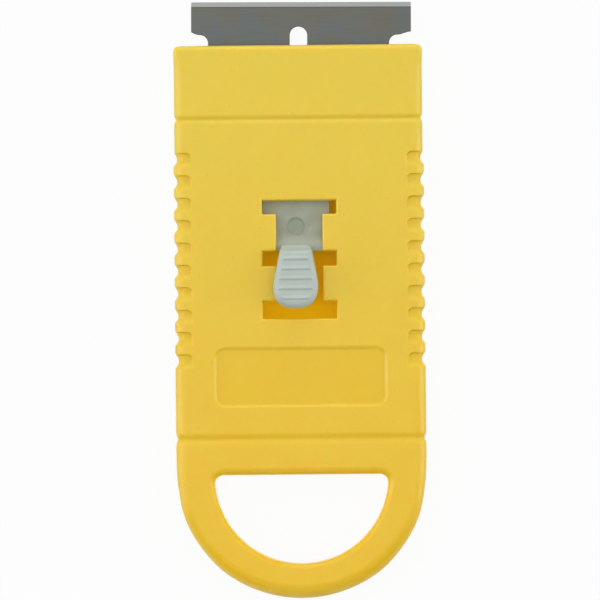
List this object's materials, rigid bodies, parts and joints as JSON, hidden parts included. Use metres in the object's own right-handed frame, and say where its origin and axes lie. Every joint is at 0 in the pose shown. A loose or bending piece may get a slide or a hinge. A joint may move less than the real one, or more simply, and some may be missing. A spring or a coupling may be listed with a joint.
{
  "type": "razor blade scraper",
  "caption": "Flat pocket scraper whose single-edge blade slides out of a two-shell body with side grips and a finger loop, moved and locked by a thumb tab.",
  "frame": {"origin": "bottom centre of the bounding box, on the rear face that the scraper lies on", "axes": "+Y along the body from the finger loop to the blade, +Z out of the front face on which the thumb tab stands, +X to the right seen from the front with the blade up"},
  "size_m": [0.0432, 0.1031, 0.01],
  "materials": {
    "front_plastic": "satin moulded yellow plastic",
    "rear_plastic": "satin moulded yellow plastic",
    "carrier_plastic": "satin moulded grey plastic",
    "tab_plastic": "satin moulded pale grey plastic",
    "blade_steel": "rolled blade steel with a ground bevel",
    "spine_steel": "folded sheet steel"
  },
  "bodies": {
    "housing": {"front_shell": "front_plastic", "rear_shell": "rear_plastic"},
    "carriage": {"blade_carrier": "carrier_plastic", "blade": "blade_steel", "blade_spine": "spine_steel"},
    "thumb_lever": {"spring_tongue": "carrier_plastic", "thumb_tab": "tab_plastic"}
  },
  "joints": [
    {"name": "blade_slide", "type": "slide", "parent": "housing", "child": "carriage", "axis": [0, 1, 0], "range_m": [-0.0114, 0.00646]},
    {"name": "tab_press", "type": "hinge", "parent": "carriage", "child": "thumb_lever", "pos_m": [-0.0006, 0.02615, 0.0038], "axis": [1, 0, 0], "range_deg": [0, 2.5], "stiffness_Nm_per_rad": 0.8, "springref_deg": -2.29}
  ]
}
